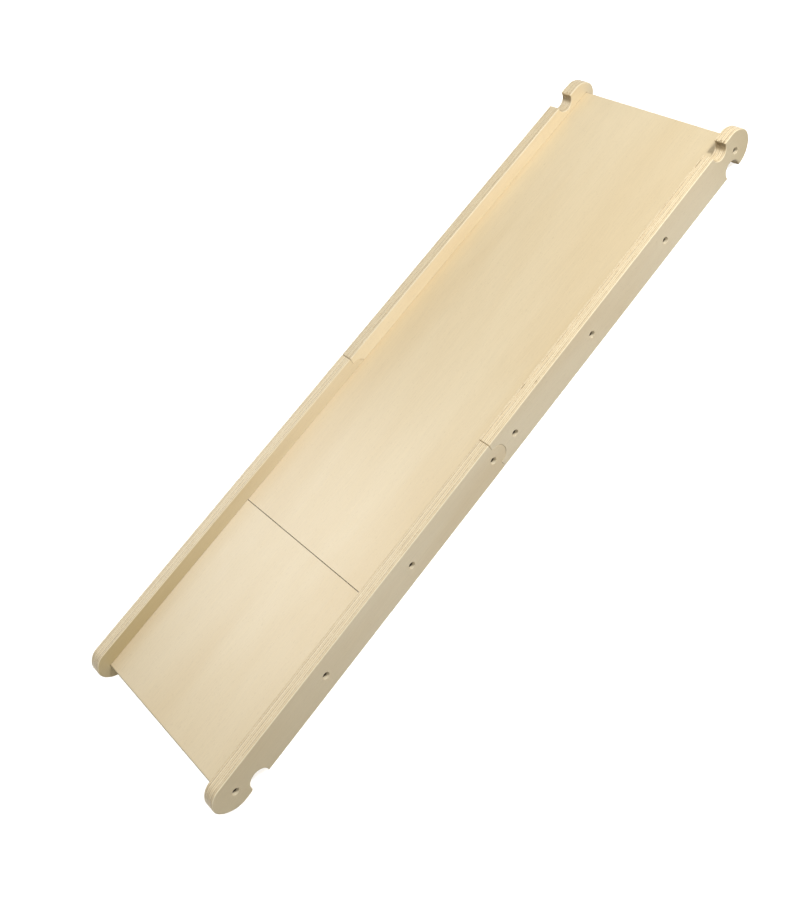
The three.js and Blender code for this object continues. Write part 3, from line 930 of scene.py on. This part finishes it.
def screw_solid(sizes, low, high, sign):
    """A socket-head wood screw between two corners, with its head on the rail's outer side."""
    at = (low + high) / 2
    head_y, tip_y = (high.y, low.y) if sign > 0 else (low.y, high.y)
    radius = (high.x - low.x) / 2
    head, ease, shank = sizes.head_height, sizes.head_ease, sizes.shank_radius
    profile = [
        (0, head_y),
        (radius - ease, head_y),
        (radius - 0.3 * ease, head_y - sign * 0.3 * ease),
        (radius, head_y - sign * ease),
        (radius, head_y - sign * (head - 0.1 * MM)),
        (radius - 0.1 * MM, head_y - sign * head),
        (shank + 0.3 * MM, head_y - sign * head),
        (shank, head_y - sign * (head + 0.5 * MM)),
        (shank, tip_y + sign * sizes.point_length),
        (0, tip_y),
    ]
    body = turned(profile, at, HEAD_STEPS)
    socket = bmesh.new()
    bmesh.ops.create_cone(
        socket, cap_ends=True, segments=6, radius1=sizes.hex_radius, radius2=sizes.hex_radius,
        depth=2 * sizes.hex_depth,
        matrix=Matrix.Translation((at.x, head_y, at.z)) @ Matrix.Rotation(math.pi / 2, 4, "X"),
    )
    body = carved(body, socket)
    turns, pitch, foot = sizes.thread_turns, sizes.thread_pitch, sizes.thread_foot
    start = tip_y + sign * (sizes.thread_end + turns * pitch)
    thread = bmesh.new()
    section = ((sizes.thread_root, -foot), (sizes.thread_radius, 0), (sizes.thread_root, foot))
    ring = [thread.verts.new((at.x + r, start - sign * y, at.z)) for r, y in section]
    first = thread.faces.new(ring)
    bmesh.ops.spin(
        thread, geom=[first, *first.edges, *first.verts], cent=(at.x, 0, at.z), axis=(0, 1, 0),
        dvec=(0, -sign * pitch / THREAD_STEPS, 0), angle=math.tau * turns, steps=THREAD_STEPS * turns,
    )
    bmesh.ops.recalc_face_normals(thread, faces=thread.faces[:])
    return joined([body, thread])


class SLIDE_OT_screws(bpy.types.Operator):
    """Builds the socket-head wood screws at the bottom of their recesses"""

    bl_idname = "slide.screws"
    bl_label = "Screws"

    def execute(self, context):
        steel = black_oxide_steel()
        for side, sign in SIDES.items():
            for i in range(1, 2 * SCREWS_PER_HALF + 1):
                node = f"screw_{side}_{i}"
                bm = screw_solid(context.scene.slide_sizes, *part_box(node), sign)
                publish(bm, f"wood_screw_{side}_{i}", node, "blackened_steel", steel)
        return {"FINISHED"}


# ---- Stage ----


def area_light(name, at, towards, size, power, tint):
    """A round soft box that faces the point `towards`."""
    light = bpy.data.lights.new(name, "AREA")
    light.shape = "DISK"
    light.size = size
    light.energy = power
    light.color = tint
    lamp = bpy.data.objects.new(name, light)
    bpy.context.scene.collection.objects.link(lamp)
    lamp.location = at
    lamp.rotation_euler = (Vector(towards) - Vector(at)).to_track_quat("-Z", "Y").to_euler()
    return lamp


def studio_floor():
    """A white floor just under the slide, which throws no light back up at it."""
    bm = bmesh.new()
    bmesh.ops.create_grid(bm, x_segments=1, y_segments=1, size=FLOOR_HALF)
    bmesh.ops.translate(bm, vec=(0, 0, -FLOOR_DROP), verts=bm.verts[:])
    floor = bpy.data.objects.new("studio_floor", mesh_from(bm, "studio_floor"))
    bpy.context.scene.collection.objects.link(floor)
    floor.data.materials.append(studio_paper())
    floor.visible_diffuse = False
    return floor


def studio_world(studio):
    """Even light all round, strong from above and faint from below, in front of a plain bright backdrop."""
    world = bpy.data.worlds.new("studio")
    world.use_nodes = True
    sky = world.node_tree
    sky.nodes.clear()
    way = add(sky, COORDS)
    height = add(sky, SPLIT, (way.outputs["Generated"],))
    strength = add(sky, RANGE, (height.outputs["Z"], -HORIZON_BLEND, HORIZON_BLEND, studio.below, studio.sky))
    seen = add(sky, "ShaderNodeLightPath")
    backdrop = add(sky, MIX, {0: seen.outputs["Is Camera Ray"], 2: strength, 3: studio.backdrop})
    air = bpy.context.scene.slide_colours.air
    light = add(sky, "ShaderNodeBackground", {"Color": air, "Strength": backdrop})
    add(sky, "ShaderNodeOutputWorld", {"Surface": light})
    return world


def studio_lights(studio, floor):
    """A small key, a soft box that gives only sheen, a low light behind, and a wash for the floor alone."""
    area_light("key", KEY_AT, KEY_TO, KEY_SIZE, studio.key, KEY_TINT)
    gloss = area_light("soft box", GLOSS_AT, GLOSS_TO, GLOSS_SIZE, studio.fill, GLOSS_TINT)
    gloss.visible_diffuse = False
    area_light("back fill", BACK_AT, BACK_TO, BACK_SIZE, studio.back, BACK_TINT)
    wash = bpy.data.objects.new("floor wash", bpy.data.lights.new("floor wash", "SUN"))
    wash.data.energy = studio.wash
    bpy.context.scene.collection.objects.link(wash)
    only_floor = bpy.data.collections.new("washed floor")
    only_floor.objects.link(floor)
    wash.light_linking.receiver_collection = only_floor
    wash.light_linking.blocker_collection = only_floor
    gloss.light_linking.blocker_collection = only_floor


def studio_camera(studio):
    """The camera, turned about its own axis so that the slide runs from corner to corner."""
    camera = bpy.data.objects.new("camera", bpy.data.cameras.new("camera"))
    bpy.context.scene.collection.objects.link(camera)
    camera.data.sensor_fit = "HORIZONTAL"
    camera.data.sensor_width = SENSOR_WIDTH
    camera.data.lens = studio.lens
    camera.data.shift_y = studio.rise
    camera.data.clip_start = CLIP_NEAR
    camera.data.clip_end = CLIP_FAR
    camera.location = studio.camera_at
    look = Vector(studio.look_at) - Vector(studio.camera_at)
    camera.rotation_mode = "QUATERNION"
    camera.rotation_quaternion = look.to_track_quat("-Z", "Y") @ Quaternion((0, 0, 1), studio.roll)
    return camera


class SLIDE_OT_stage(bpy.types.Operator):
    """Sets up the pale floor, the soft studio light and the camera"""

    bl_idname = "slide.stage"
    bl_label = "Studio"

    def execute(self, context):
        scene = context.scene
        floor = studio_floor()
        scene.world = studio_world(scene.slide_studio)
        scene.view_settings.view_transform = "Standard"
        studio_lights(scene.slide_studio, floor)
        scene.camera = studio_camera(scene.slide_studio)
        return {"FINISHED"}


# ---- Panel and registration ----


class SLIDE_PT_panel(bpy.types.Panel):
    """Lists the steps that build the slide"""

    bl_label = "Toddler Slide"
    bl_idname = "SLIDE_PT_panel"
    bl_space_type = "VIEW_3D"
    bl_region_type = "UI"
    bl_category = "Slide"

    def draw(self, context):
        layout = self.layout
        for operator in OPERATORS:
            layout.operator(operator.bl_idname)
        for name, group in GROUPS.items():
            layout.label(text=name.removeprefix("slide_").capitalize())
            for setting in group.__annotations__:
                layout.prop(getattr(context.scene, name), setting)


GROUPS = {"slide_sizes": SlideSizes, "slide_colours": SlideColours, "slide_studio": StudioSettings}
OPERATORS = (SLIDE_OT_rails, SLIDE_OT_deck, SLIDE_OT_slats, SLIDE_OT_screws, SLIDE_OT_stage)


def register():
    for cls in (*GROUPS.values(), *OPERATORS, SLIDE_PT_panel):
        bpy.utils.register_class(cls)
    for name, group in GROUPS.items():
        setattr(bpy.types.Scene, name, PointerProperty(type=group))


def unregister():
    for name in GROUPS:
        delattr(bpy.types.Scene, name)
    for cls in reversed((*GROUPS.values(), *OPERATORS, SLIDE_PT_panel)):
        bpy.utils.unregister_class(cls)


def main():
    register()
    bpy.ops.slide.rails()
    bpy.ops.slide.deck()
    bpy.ops.slide.slats()
    bpy.ops.slide.screws()
    bpy.ops.slide.stage()


if __name__ == "__main__":
    main()
